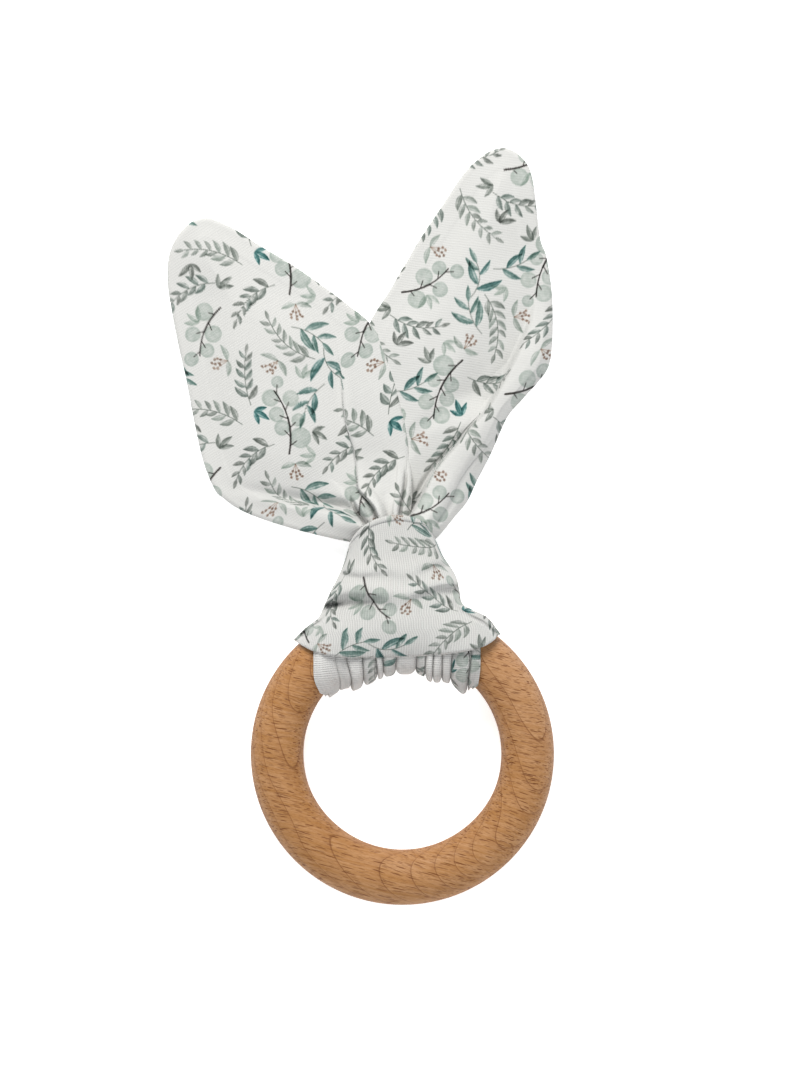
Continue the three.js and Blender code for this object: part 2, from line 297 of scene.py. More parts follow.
def paint_print(u, v):
    """Linear colour of the printed cloth at flat cloth points u, v in millimetres."""
    colour = np.tile(CLOTH_WHITE, (len(u), 1))
    wash = noise(u, v, 1.0, 3) * 0.55 + noise(u, v, 0.4, 5) * 0.45
    for (px, py), marks in SPRIGS:
        x, y = wrapped(u - px), wrapped(v - py)
        close = np.nonzero((np.abs(x) < SPRIG_REACH) & (np.abs(y) < SPRIG_REACH))[0]
        for mark in marks:
            paint_mark(colour, close, x[close], y[close], wash, mark)
    return colour


def paint_mark(colour, index, lx, ly, wash, mark):
    """Multiply one mark's ink into the points of the index that it covers."""
    xs, ys = np.array(mark["path"]).T
    length = np.hypot(xs[-1] - xs[0], ys[-1] - ys[0])
    reach = mark["half"] + abs(mark.get("bend", 0)) * length + 0.3
    near = (lx > xs.min() - reach) & (lx < xs.max() + reach)
    near &= (ly > ys.min() - reach) & (ly < ys.max() + reach)
    if not near.any():
        return
    x, y, near, half = lx[near], ly[near], index[near], mark["half"]
    grain = wash[near]
    if mark["kind"] == "dot":
        away = np.hypot(x - xs[0], y - ys[0]) * (1 + 0.07 * grain)
        cover = smoothstep(half + 0.12, half - 0.12, away)
        turn = np.arctan2(y - ys[0], x - xs[0])
        veins = 0.05 * np.sin(23 * turn) * (away / half)
        tone = 0.60 + 0.34 * smoothstep(0.5, 1.0, away / half) + 0.34 * grain + veins * (half > 1)
    elif mark["kind"] == "stem":
        away = np.full(len(x), 9.0)
        for ax, ay, bx, by in zip(xs[:-1], ys[:-1], xs[1:], ys[1:]):
            dx, dy = bx - ax, by - ay
            t = np.clip(((x - ax) * dx + (y - ay) * dy) / (dx**2 + dy**2), 0, 1)
            away = np.minimum(away, np.hypot(x - ax - t * dx, y - ay - t * dy))
        cover = smoothstep(half + 0.11, half - 0.07, away * (1 + 0.25 * grain))
        tone = 1.0 + 0.2 * grain
    else:
        c, s = (xs[1] - xs[0]) / length, (ys[1] - ys[0]) / length
        along = (c * (x - xs[0]) + s * (y - ys[0])) / length
        inside = np.clip(along, 0, 1)
        across = -s * (x - xs[0]) + c * (y - ys[0]) - mark["bend"] * length * 4 * inside * (1 - inside)
        width = half * np.sin(np.pi * inside**0.85) ** 0.85 * (1 + 0.10 * grain)
        cover = smoothstep(-0.13, 0.15, width - np.abs(across)) * (along > 0) * (along < 1)
        side = across / np.maximum(width, 0.05)
        tone = 0.44 + 0.30 * smoothstep(-0.2, 0.9, side) + 0.16 * smoothstep(0.5, 0.95, np.abs(side))
        tone = tone + 0.30 * inside**2 + 0.34 * grain
        if half > 0.5:
            vein = np.exp(-((across / 0.12) ** 2))
            shine = np.exp(-(((across + 0.3) / 0.16) ** 2))
            tone = tone + 0.24 * vein - 0.22 * shine
    # Watercolour: the ink deepens by its own colour as it pools.
    colour[near] *= mark["ink"] ** (cover * mark["density"] * tone)[:, None]


SPRIGS = draw_sprigs()


# ---------------- meshes
def in_frame(x, y, z):
    """A place in metres in the row's frame."""
    return (x + RING_AT[0]) * MM, (y + RING_AT[1]) * MM, z * MM


def make_object(name, points, faces, material, cloth=None, stretch=0.0, wrong_side=0.0):
    """Points in millimetres from under the ring's centre; cloth is the flat cloth place of each."""
    placed = (np.asarray(points, float) + [RING_AT[0], RING_AT[1], 0]) * MM
    mesh = bpy.data.meshes.new(name)
    mesh.from_pydata(placed.tolist(), [], np.asarray(faces).tolist())
    mesh.update()
    mesh.shade_smooth()
    if cloth is not None:
        u, v = cloth
        bare = np.broadcast_to(wrong_side, u.shape)[:, None]
        values = {
            "cloth_place": np.stack([u, v, 0 * u], 1),
            "print_colour": paint_print(u, v) * (1 - bare) + UNPRINTED_BACK_WITH_PAINTED_LIGHT * bare,
            "cloth_stretch": np.stack([np.broadcast_to(stretch, u.shape)] * 3, 1),
        }
        for key, value in values.items():
            layer = mesh.attributes.new(key, "FLOAT_VECTOR", "POINT")
            layer.data.foreach_set("vector", value.astype(np.float32).ravel())
    obj = bpy.data.objects.new(name, mesh)
    bpy.context.scene.collection.objects.link(obj)
    mesh.materials.append(material)
    return obj


def grid_faces(columns, rows, round_columns=False, round_rows=False):
    """Quads of a grid whose points run along the columns first; a round way joins end to start."""
    i, j = np.meshgrid(np.arange(columns - (not round_columns)), np.arange(rows - (not round_rows)))
    i, j = i.ravel(), j.ravel()
    k, m = (i + 1) % columns, (j + 1) % rows
    return np.stack([j * columns + i, j * columns + k, m * columns + k, m * columns + i], 1)


def disc(rings):
    """An even triangle mesh of the unit disc: share of the radius, share of the turn, triangles."""
    radius, turn, faces = [0.0], [0.0], []
    start = [0] + [1 + 3 * k * (k - 1) for k in range(1, rings + 1)]
    for k in range(1, rings + 1):
        count = 6 * k
        radius += [k / rings] * count
        turn += [n / count for n in range(count)]
        inner = max(6 * (k - 1), 1)
        for side in range(6):
            for n in range(k):
                a = start[k] + side * k + n
                b = start[k] + (side * k + n + 1) % count
                c = start[k - 1] + (side * (k - 1) + n) % inner
                faces.append((a, b, c))
                if n < k - 1:
                    d = start[k - 1] + (side * (k - 1) + n + 1) % inner
                    faces.append((b, d, c))
    return np.array(radius), np.array(turn), np.array(faces)


def table_level(y):
    """Height of the table's surface over the ring's own level."""
    return -(y * math.sin(TILT) + RING_LIFT)


def tilt(points):
    """From the ring's own level to the table's: the tied ring lies at a slight tilt."""
    x, y, z = points.T
    c, s = math.cos(TILT), math.sin(TILT)
    return np.stack([x, y * c - z * s, y * s + z * c + RING_LIFT], 1)


# ---------------- materials
class Nodes:
    """Short spellings for building one material's nodes."""

    def __init__(self, name):
        self.material = bpy.data.materials.new(name)
        self.material.use_nodes = True
        self.tree = self.material.node_tree
        self.shader = self.tree.nodes["Principled BSDF"]

    def fill(self, node, inputs):
        for key, value in inputs.items():
            self.put(node.inputs[key.replace("_", " ")], value)
        return node

    def add(self, kind, **inputs):
        return self.fill(self.tree.nodes.new(kind), inputs)

    def look(self, **inputs):
        self.fill(self.shader, inputs)
        return self.material

    def put(self, socket, value):
        if isinstance(value, bpy.types.NodeSocket):
            self.tree.links.new(value, socket)
        else:
            socket.default_value = value

    def math(self, operation, a, b=0.0, c=0.0):
        node = self.tree.nodes.new("ShaderNodeMath")
        node.operation = operation
        for socket, value in zip(node.inputs, (a, b, c)):
            self.put(socket, value)
        return node.outputs[0]

    def times(self, a, b):
        return self.math("MULTIPLY", a, b)

    def plus(self, a, b):
        return self.math("ADD", a, b)

    def ramp(self, value, low, high, out_low=0.0, out_high=1.0):
        node = self.add("ShaderNodeMapRange", Value=value, From_Min=low, From_Max=high,
                        To_Min=out_low, To_Max=out_high)
        node.interpolation_type = "SMOOTHSTEP"
        return node.outputs["Result"]

    def blend(self, factor, a, b, mode="MIX"):
        node = self.tree.nodes.new("ShaderNodeMix")
        node.data_type = "RGBA"
        node.blend_type = mode
        for key, value in ((0, factor), (6, a), (7, b)):
            if not isinstance(value, bpy.types.NodeSocket) and key and len(value) == 3:
                value = (*value, 1)
            self.put(node.inputs[key], value)
        return node.outputs[2]

    def noise(self, vector, scale, detail, rough=0.5):
        node = self.add("ShaderNodeTexNoise", Vector=vector, Scale=scale, Detail=detail, Roughness=rough)
        return node.outputs["Fac"]

    def mapping(self, vector, scale=(1, 1, 1), turn=(0, 0, 0), move=(0, 0, 0)):
        node = self.add("ShaderNodeMapping", Vector=vector, Scale=scale, Rotation=turn, Location=move)
        return node.outputs["Vector"]

    def attribute(self, name):
        node = self.tree.nodes.new("ShaderNodeAttribute")
        node.attribute_name = name
        return node.outputs["Vector"]

    def split(self, vector):
        return self.add("ShaderNodeSeparateXYZ", Vector=vector).outputs

    def join(self, x, y, z):
        return self.add("ShaderNodeCombineXYZ", X=x, Y=y, Z=z).outputs[0]

    def dashes(self, vector, scale, reach, shift):
        """Scattered dashes, each of its own strength: 1 in the middle of a dash, 0 between them."""
        place = self.mapping(vector, scale, (0, 0, 0), shift)
        cells = self.add("ShaderNodeTexVoronoi", Vector=place, Scale=1.0)
        strength = self.math("MULTIPLY_ADD", self.split(cells.outputs["Color"])[0], 0.6, 0.4)
        return self.times(self.ramp(cells.outputs["Distance"], reach, reach * 0.78), strength)

    def bump(self, height, distance, strength):
        node = self.add("ShaderNodeBump", Height=height, Distance=distance, Strength=strength)
        return node.outputs["Normal"]


STITCH_TURN = math.radians(32.4)  # the stitches against the flat cloth's own axes
WALE = 0.58  # spacing of the columns of stitches, mm
COURSE = 0.47  # spacing of the rows of stitches, mm


def jersey_material():
    n = Nodes("printed_jersey")
    place = n.attribute("cloth_place")
    stitches = n.mapping(place, turn=(0, 0, math.pi / 2 - STITCH_TURN))
    u, v, _ = n.split(stitches)
    stretch = n.split(n.attribute("cloth_stretch"))[0]
    waver = n.times(n.math("SUBTRACT", n.noise(place, 0.25, 1), 0.5), 0.5)
    column = n.times(n.plus(u, waver), 2 * math.pi / WALE)
    wale = n.math("MULTIPLY_ADD", n.math("COSINE", column), 0.5, 0.5)
    lean = n.times(n.math("ABSOLUTE", n.math("SINE", n.times(column, 0.5))), 2.2)
    row = n.plus(n.times(v, 2 * math.pi / COURSE), lean)
    course = n.math("MULTIPLY_ADD", n.math("SINE", row), 0.5, 0.5)
    stitch = n.plus(n.times(wale, 0.75), n.times(course, 0.25))
    fuzz = n.noise(place, 3.2, 3, 0.65)
    slub = n.noise(n.mapping(stitches, (2.0, 0.16, 1)), 1.0, 2)
    # Between the stitches the colour is darkened: painted shade in the grooves, deeper where the cloth is
    # stretched; slub and fuzz only vary the tone.
    groove = n.math("SUBTRACT", 1.0, n.ramp(stitch, 0.0, 0.8))
    shade = n.math("SUBTRACT", 1.0, n.times(groove, n.ramp(stretch, 0, 1, 0.045, 0.19)))
    shade = n.plus(shade, n.times(n.math("SUBTRACT", slub, 0.5), 0.06))
    shade = n.plus(shade, n.times(n.math("SUBTRACT", fuzz, 0.5), 0.05))
    grey = n.join(shade, shade, shade)
    tinted = n.blend(1.0, n.attribute("print_colour"), grey, "MULTIPLY")
    rough = n.ramp(fuzz, 0.3, 0.7, 0.82, 0.95)
    ribs = n.times(stitch, n.ramp(stretch, 0, 1, 0.35, 1.1))
    height = n.plus(ribs, n.times(fuzz, 0.5))
    return n.look(Base_Color=tinted, Roughness=rough, Sheen_Weight=0.18, Sheen_Roughness=0.5,
                  Specular_IOR_Level=0.25, Normal=n.bump(height, 0.00012, 0.9))


GRAIN_ANGLE = math.radians(-14)  # the board's fibres, against the row's X


def beech_material():
    n = Nodes("beech")
    place = n.add("ShaderNodeTexCoord").outputs["Object"]
    board = n.mapping(place, (1000, 1000, 1000))
    fibre = n.mapping(board, (1, 1, 1), (0, 0, -GRAIN_ANGLE))
    drift = n.noise(n.mapping(fibre, (0.035, 0.06, 0.05)), 1.0, 0)
    # Growth rings: nearly flat shells that come out through the face as slanting lines.
    x, y, z = n.split(fibre)
    shell = n.plus(z, n.math("MULTIPLY_ADD", x, 0.46, n.times(y, 0.30)))
    shell = n.plus(shell, n.times(drift, 7.0))
    growth = n.math("FRACT", n.math("DIVIDE", shell, 3.3))
    late = n.times(n.ramp(growth, 0.60, 0.98), n.ramp(growth, 1.0, 0.985))
    line = n.times(n.ramp(growth, 0.94, 0.975), n.ramp(growth, 1.0, 0.985))
    # Vessels: short dark dashes along the fibres, long ones and fine ones.
    wander = n.noise(n.mapping(fibre, (0.05, 0.07, 0.05), (0, 0, 0), (3, 1, 7)), 1.0, 1)
    bent = n.join(x, n.math("MULTIPLY_ADD", wander, 3.2, y), z)
    long_dash = n.dashes(bent, (0.17, 2.7, 0.8), 0.31, (0, 0, 0))
    short_dash = n.dashes(bent, (0.36, 3.9, 1.0), 0.32, (5, 9, 2))
    streak = n.noise(n.mapping(bent, (0.05, 1.6, 0.4)), 1.0, 3, 0.6)
    speckle = n.noise(n.mapping(bent, (1.1, 6.0, 1.6)), 1.0, 2, 0.6)
    pale, warm, dark = linear(187, 141, 97), linear(168, 119, 68), linear(100, 48, 6)
    colour = n.blend(n.ramp(streak, 0.28, 0.70), pale, warm)
    paler_towards_right_and_knot = n.plus(n.times(x, 0.8), y)  # paler towards +X and +Y, the right and the knot end
    up = n.split(n.add("ShaderNodeNewGeometry").outputs["Normal"])[2]
    for share, tint in (
        (n.ramp(paler_towards_right_and_knot, -15.0, 30.0, 0.0, 0.40), linear(202, 164, 132)),
        (n.times(late, 0.24), linear(144, 94, 50)),
        (n.times(line, 0.62), linear(112, 68, 34)),
        (n.ramp(speckle, 0.36, 0.70, 0.0, 0.36), linear(138, 86, 38)),
        (n.times(long_dash, 0.90), dark),
        (n.times(short_dash, 0.60), dark),
        # Where the surface turns steep, away from facing up, it is mixed towards dark brown: painted shade
        # on the ring's sides.
        (n.ramp(n.math("ABSOLUTE", up), 0.05, 0.65, 0.36, 0.0), linear(122, 74, 24)),
    ):
        colour = n.blend(share, colour, tint)
    rough = n.plus(n.ramp(streak, 0.2, 0.8, 0.52, 0.60), n.times(long_dash, 0.15))
    height = n.math("SUBTRACT", n.times(streak, 0.35), n.times(long_dash, 0.9))
    height = n.math("SUBTRACT", height, n.times(short_dash, 0.5))
    return n.look(Base_Color=colour, Roughness=rough, Specular_IOR_Level=0.28,
                  Normal=n.bump(height, 0.00008, 0.7))


def floor_material():
    n = Nodes("pale_floor")
    place = n.add("ShaderNodeTexCoord").outputs["Object"]
    tone = n.ramp(n.noise(place, 3.0, 2), 0.3, 0.7, 0.985, 1.0)
    tint = n.blend(1.0, (0.95, 0.95, 0.95), n.join(tone, tone, tone), "MULTIPLY")
    return n.look(Base_Color=tint, Roughness=0.9, Emission_Color=(1, 1, 1, 1),
                  Emission_Strength=FLOOR_GLOW)


JERSEY = jersey_material()
BEECH = beech_material()


# ---------------- the wooden ring
def make_ring():
    columns, rows = 256, 64
    turn = np.linspace(0, 2 * np.pi, columns, endpoint=False)
    wrap = np.linspace(0, 2 * np.pi, rows)
    turn, wrap = np.meshgrid(turn, wrap)
    thicker = smoothstep(0.25, 1.0, -np.sin(turn))  # away from the knot
    out = RIM_CENTRE_R - 0.3 * thicker + (RIM_R + 0.3 * thicker) * np.cos(wrap)
    points = np.stack([out * np.cos(turn), out * np.sin(turn), RIM_R * np.sin(wrap)], -1)
    points = tilt(points[:-1].reshape(-1, 3))
    faces = grid_faces(columns, rows - 1, round_columns=True, round_rows=True)
    ring = make_object("turned_ring", points, faces, BEECH)
    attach(ring, "ring")
    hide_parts("wooden_ring")


# ---------------- ears
LEFT_OUTLINE = [
    (-9.5, 48.5), (-4, 48.2), (1.6, 49.5), (2.0, 55.5), (2.4, 62), (1.7, 68.3), (0.8, 75.5),
    (-0.8, 82.2), (-2.4, 88.7), (-4.6, 95.4), (-8.0, 100.2), (-12.7, 104), (-17.7, 107.8),
    (-25.2, 113), (-32.5, 117.4), (-39.4, 121.8), (-43.9, 123.8), (-46.4, 124.1), (-49.7, 122.7),
    (-52.7, 119.2), (-54.3, 114.8), (-54.5, 109), (-53.7, 103.4), (-52.1, 95), (-50.1, 86.2),
    (-48.3, 76.6), (-46.2, 67.6), (-43.6, 61.2), (-41.4, 59), (-38, 56.6), (-32.7, 54.3),
    (-24.3, 51.7), (-17, 49.9), (-13.5, 49.2),
]
RIGHT_OUTLINE = [
    (2.6, 48.4), (7.2, 49.2), (12.4, 55.1), (15, 58.3), (17.2, 62.9), (18.9, 66.2), (20.9, 70.2),
    (24.3, 77.8), (27.9, 82.1), (31.3, 85.9), (33.9, 89.6), (34.8, 95.2), (34.9, 103.4),
    (34.5, 109), (33.4, 115.5), (32, 119.4), (31, 127.6), (30.2, 133.2), (29, 136.6), (26.6, 139.2),
    (23.8, 140.4), (21.2, 140), (18.5, 138.5), (14.3, 134.6), (9.2, 127), (4, 119.2), (-0.5, 111.6),
    (-3.5, 106.5), (-7.3, 100.4), (-9.2, 94), (-8.2, 84), (-5.8, 74), (-3.4, 64), (-1.6, 54),
]


def distance_to(x, y, line):
    best = np.full(len(x), 1e9)
    for px, py in line:
        np.minimum(best, (x - px) ** 2 + (y - py) ** 2, out=best)
    return np.sqrt(best)


def ridge(x, y, line, width, height, power=2.2):
    """A soft rounded fold along a line; width and height run from the first value to the second."""
    points = spline(line, 24, closed=False)
    best, share = np.full(len(x), 1e9), np.zeros(len(x))
    for k in range(len(points) - 1):
        ax, ay = points[k]
        dx, dy = points[k + 1] - points[k]
        t = np.clip(((x - ax) * dx + (y - ay) * dy) / (dx * dx + dy * dy), 0, 1)
        ex, ey = x - ax - t * dx, y - ay - t * dy
        d = ex * ex + ey * ey
        near = d < best
        best[near] = d[near]
        share[near] = (k + t[near]) / (len(points) - 1)
    off = np.sqrt(best) / mix(*width, share)
    bump = dome(off**2) if power == "tube" else np.exp(-(off**power))
    return mix(*height, share) * bump * smoothstep(1.0, 0.72, share)


def folds(x, y, rows):
    """The sum of many ridges; those of negative height are grooves."""
    return sum(ridge(x, y, *row) for row in rows)


def make_ear(name, outline, centre, shape_front, shape_back, cloth_at):
    """Two faces that share a rim; the front and the back are heights over the outline's plan."""
    rings = int(EAR_RINGS * DETAIL)
    radius, turn, faces = disc(rings)
    edge = spline(outline, 1200)
    at = (turn * len(edge)) % len(edge)
    low = np.floor(at).astype(int)
    on_edge = mix(edge[low], edge[(low + 1) % len(edge)], (at - low)[:, None])
    plan = np.array(centre) + radius[:, None] * (on_edge - centre)
    x, y = plan.T
    inset = distance_to(x, y, edge[::2])
    rim = radius == 1
    inset[rim] = 0
    top, middle = shape_front(x, y, inset)
    top = np.maximum(top, 1.0)
    # Where the front dips deeply, the back lies under it.
    bottom = np.minimum(shape_back(x, y, inset, middle), top - 0.7 * smoothstep(0, 1, inset))
    bottom_points = np.stack([x, y, bottom], 1)
    top_points = np.stack([x, y, top], 1)
    top_points[rim, 2] = bottom_points[rim, 2] = middle[rim]
    back_index = np.where(rim, np.arange(len(x)), np.cumsum(~rim) - 1 + len(x))
    points = np.vstack([top_points, bottom_points[~rim]])
    back_faces = back_index[faces][:, ::-1]
    u, v = cloth_at(x, y)
    back_u, back_v = cloth_at(-x[~rim] + BACK_SHIFT[0], y[~rim] + BACK_SHIFT[1])
    cloth = (np.r_[u, back_u], np.r_[v, back_v])
    return make_object(name, points, np.vstack([faces, back_faces]), JERSEY, cloth)


def turned_edge(inset):
    """Half the thickness near a turned, seamed edge: round, with a faint step where it ends."""
    round_edge = dome((1 - np.clip(inset / 1.1, 0, 1)) ** 2)
    return EDGE_HALF * round_edge - 0.12 * smoothstep(4.2, 5.2, inset)


def neck_lift(x, y, neck_x):
    """From 0 in the ear to 1 where the cloth is bunched under the bridge."""
    return 1 - smoothstep(2, 19, np.hypot((x - neck_x) * 0.9, y - 52))


# Where the left ear's inner half is tucked over the rest (y, x) and where its lower edge rolls (x, y).
TUCK = [(50, -4.4), (53, -5.4), (55, -6.1), (56.4, -6.6), (58, -7.7), (59.6, -9.2), (61, -10.2),
        (63.2, -10.6), (67.4, -10.9), (70.2, -11.4), (76.8, -13.3), (86.6, -14.2), (97, -15.5)]
LOWER_ROLL = [(-45, 62), (-36, 60.4), (-24, 58.1), (-16.6, 56.9), (-12.6, 56.0), (-11, 55.0),
              (-8.6, 53.4), (-7, 52.0)]
# Folds that fan out of the knot, from the outer side to the inner.
LEFT_FOLDS = [
    ([(-8.6, 53.0), (-10.0, 56.2), (-13.4, 59.0), (-19, 61.5)], (0.9, 3.0), (1.2, 0.4), "tube"),
    ([(-8.0, 52.6), (-9.9, 55.0), (-11.0, 56.9), (-11.6, 58.6), (-11.2, 60.4)],
     (0.5, 0.45), (-3.2, -1.6)),
    ([(-6.4, 52.0), (-7.7, 54.4), (-8.9, 56.6), (-10.1, 58.7), (-11.0, 60.4)],
     (1.5, 1.25), (2.4, 2.0), "tube"),
    ([(-5.0, 52.0), (-5.8, 54.4), (-6.5, 56.4), (-7.6, 58.0), (-9.0, 59.4), (-10.4, 61.4)],
     (0.34, 0.3), (-2.8, -1.2)),
    ([(-4.0, 52.6), (-5.0, 55.8), (-6.6, 58.4), (-8.6, 61.0), (-9.6, 64)],
     (1.3, 1.6), (1.3, 0.3), "tube"),
    ([(-2.8, 53.4), (-3.4, 55.8), (-3.8, 58.4), (-4.4, 62)], (1.0, 1.6), (-1.6, -0.2)),
    ([(-1.3, 53.0), (-1.3, 56), (-0.8, 60.2), (-0.2, 65), (-0.2, 70)], (1.0, 1.2), (1.5, 0.4), "tube"),
    ([(-0.5, 53.0), (-0.4, 56), (0.0, 59.0), (0.6, 62.2), (0.9, 67)], (0.34, 0.34), (-3.0, -0.8)),
    ([(0.6, 53.0), (0.6, 56), (1.0, 59), (1.5, 63), (1.4, 68)], (0.95, 0.8), (1.2, 0.4), "tube"),
]


def left_front(x, y, inset):
    bunch = neck_lift(x, y, -6)
    middle = 2.3 + 2.7 * bunch + 0.8 * noise(x, y, 26, 1)
    puff = 2.2 * smoothstep(0, 16, inset) + 0.7 * noise(x, y, 15, 2) * smoothstep(0, 8, inset)
    top = middle + turned_edge(inset) + puff + 1.4 * bunch * smoothstep(0, 4, inset)
    # The inner half is tucked over the rest: a step along one line.
    past = x - table(y, TUCK)
    fade = smoothstep(98, 80, y)
    step = mix(0.8, 1.8, smoothstep(68, 58, y))
    softer = smoothstep(60, 75, y)
    rise = smoothstep(mix(-0.35, -0.9, softer), mix(0.55, 1.1, softer), past)
    top += fade * step * (rise - 0.6 * smoothstep(5, 0, -past) * (past < 0))
    top += fade * 0.25 * np.exp(-(((past - 1.6) / 1.5) ** 2))
    # The lower edge rolls forwards into a fat tube.
    below = table(x, LOWER_ROLL) - y
    rolled = smoothstep(-44, -24, x) * smoothstep(-6.5, -10, x)
    rolled = rolled * mix(0.35, 1.0, smoothstep(-32, -14, x))
    top += rolled * 2.6 * smoothstep(-0.8, 1.8, below)
    top -= rolled * 1.7 * np.exp(-(((below + 0.9) / 1.3) ** 2))
    # The bunched cloth swells out of the knot.
    top += 2.7 * smoothstep(11, 1, np.hypot(x + 4.5, (y - 53) * 1.1))
    return top + folds(x, y, LEFT_FOLDS), middle


def left_cloth(x, y):
    """Flat cloth place: the tuck and the lower roll hide some cloth, so the print jumps there."""
    past = smoothstep(-0.2, 0.4, x - table(y, TUCK)) * smoothstep(96, 70, y)
    under = 5.0 * smoothstep(1.0, -1.4, y - table(x, LOWER_ROLL)) * smoothstep(-42, -26, x)
    return x + 6.9 * past, y + 2.8 * past - under


def back_shape(neck_x):
    def shape(x, y, inset, middle):
        bunch = neck_lift(x, y, neck_x)
        low = middle - turned_edge(inset) - 1.6 * smoothstep(0, 5, inset) * (1 - bunch)
        fan = np.arctan2(x - neck_x, y - 46)
        low += bunch * (0.8 * np.abs(np.sin(9 * fan)) - 2.6 * smoothstep(0, 3, inset))
        return np.maximum(low, 0.12 + 0.25 * smoothstep(-1, 1, noise(x, y, 9, 8)))
    return shape


# The crease inside the right ear's outer edge (y, x).
CREASE = [(50, -1.0), (55.2, 1.7), (58.4, 3.7), (63.7, 6.3), (67.6, 9.0), (70.9, 11.9),
          (75.5, 15.6), (78.1, 18.1), (84, 22), (89, 24.7), (94, 27.2), (99, 29.2), (106, 31.2), (120, 34)]
RIGHT_FOLDS = [
    ([(1.0, 55.4), (5.6, 63.7), (11.1, 70.9), (17.3, 78.1)], (0.6, 0.8), (-1.2, -0.4)),
    ([(5.6, 54), (9.4, 59.5), (13.8, 66.5), (18.4, 72)], (1.1, 2.0), (0.7, 0.2)),
    ([(7.6, 53), (11.0, 57), (14.6, 62.4), (17.4, 67)], (0.6, 1.1), (-0.9, -0.1)),
]


def right_front(x, y, inset):
    bunch = neck_lift(x, y, 4)
    middle = 1.7 + 2.8 * bunch + 0.6 * noise(x, y, 27, 11)
    puff = 2.0 * smoothstep(0, 14, inset) + 0.4 * noise(x, y, 14, 12) * smoothstep(0, 8, inset)
    top = middle + turned_edge(inset) + puff
    # The outer edge is cupped forwards, with a crease and a shaded trough beside it.
    past = x - table(y, CREASE)
    fade = smoothstep(110, 82, y)
    curl = dome(((past - 3.4) / 3.9) ** 2)
    cupped = 2.0 * curl * (past > -0.5) + 1.8 * smoothstep(-0.5, 0.9, past)
    top += fade * cupped * smoothstep(0, 2.5, inset)
    top -= fade * 2.8 * smoothstep(0.3, -1.4, past) * smoothstep(-15, -5, past)
    top += 2.6 * smoothstep(10, 1, np.hypot(x - 5, (y - 52) * 1.1))
    # Inside the crease the cloth runs down towards the knot.
    valley = smoothstep(0.3, -0.9, past) * smoothstep(-14, -7, past) * smoothstep(84, 74, y)
    top = mix(top, 2.2 + 0.14 * (y - 58), valley * smoothstep(0, 2.5, inset))
    return top + folds(x, y, RIGHT_FOLDS), middle


def right_cloth(x, y):
    """The right ear's cloth is turned: its rows of stitches run nearly across it."""
    hidden = 4.5 * smoothstep(-0.6, 0.6, x - table(y, CREASE)) * smoothstep(104, 86, y)
    return rotated(x + hidden, y, math.radians(-140))


def make_ears():
    left = make_ear("left_ear_cloth", LEFT_OUTLINE, (-17, 72), left_front, back_shape(-6), left_cloth)
    right = make_ear("right_ear_cloth", RIGHT_OUTLINE, (12, 86), right_front, back_shape(4), right_cloth)
    for ear, side, x in ((left, "left", -5), (right, "right", 5)):
        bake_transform(ear)
        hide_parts(f"{side}_ear_front_panel", f"{side}_ear_back_panel", f"{side}_ear_seam")
    return left, right


# ---------------- bridge
BRIDGE_BOTTOM = [(-24.6, 27.0), (-19.7, 25.0), (-13.8, 24.0), (-7.8, 23.7), (-1.3, 23.8), (5.9, 24.2),
                 (13.7, 25.2), (18.6, 26.4), (22.2, 28.5)]
BRIDGE_TOP = [(-12.4, 47.9), (-10.6, 50.2), (-7.8, 52.3), (-4.6, 53.6), (-0.8, 54.1), (3, 53.5),
              (5.6, 52.2), (7.1, 50.6)]
BRIDGE_LEFT = [(-24.6, 27.0), (-22.2, 29.4), (-19.3, 31.8), (-18.2, 34.0), (-16.7, 37.4),
               (-14.4, 41.8), (-13.1, 45.4), (-12.4, 47.9)]
BRIDGE_RIGHT = [(22.2, 28.5), (19.5, 31.9), (16.0, 33.8), (13.7, 35.2), (13.1, 38.0),
                (12.2, 41.4), (9.5, 45.4), (8.3, 48.0), (7.1, 50.6)]


def read_line(line, at):
    """Points of a line at shares of its length."""
    shares = np.linspace(0, 1, len(line))
    return np.stack([np.interp(at, shares, line[:, k]) for k in (0, 1)], -1)


def filled(bottom, top, left, right, s, t):
    """Points spread evenly between four edge lines, at shares s across and t up."""
    bottom, top, left, right = [spline(line, 300, closed=False) for line in (bottom, top, left, right)]
    S, T = s[..., None], t[..., None]
    return ((1 - T) * read_line(bottom, s) + T * read_line(top, s)
            + (1 - S) * read_line(left, t) + S * read_line(right, t)
            - (1 - S) * (1 - T) * bottom[0] - S * (1 - T) * bottom[-1]
            - (1 - S) * T * top[0] - S * T * top[-1])


def bridge_height(x, y, s):
    """Height over the ring's own mid-plane."""
    off = np.hypot(x, y) - RIM_CENTRE_R
    wrap = 9.9 - 2.4 * smoothstep(15, 25, np.abs(x))
    over_rim = np.sqrt(np.clip(wrap**2 - off**2, 4, None))
    side = np.abs(2 * s - 1)
    crown = table(y, [(30, 9.6), (36, 8.6), (42, 6.4), (48, 4.6), (53, 3.4), (56, 2.6)])
    drop = table(y, [(30, 2), (36, 6.5), (42, 8), (50, 8), (56, 6)])
    over_tails = crown - drop * (1 - dome(side**2.6))
    share = smoothstep(32.5, 38.5, y + 1.5 * side)
    return mix(np.maximum(over_rim, 2.5), over_tails, share)


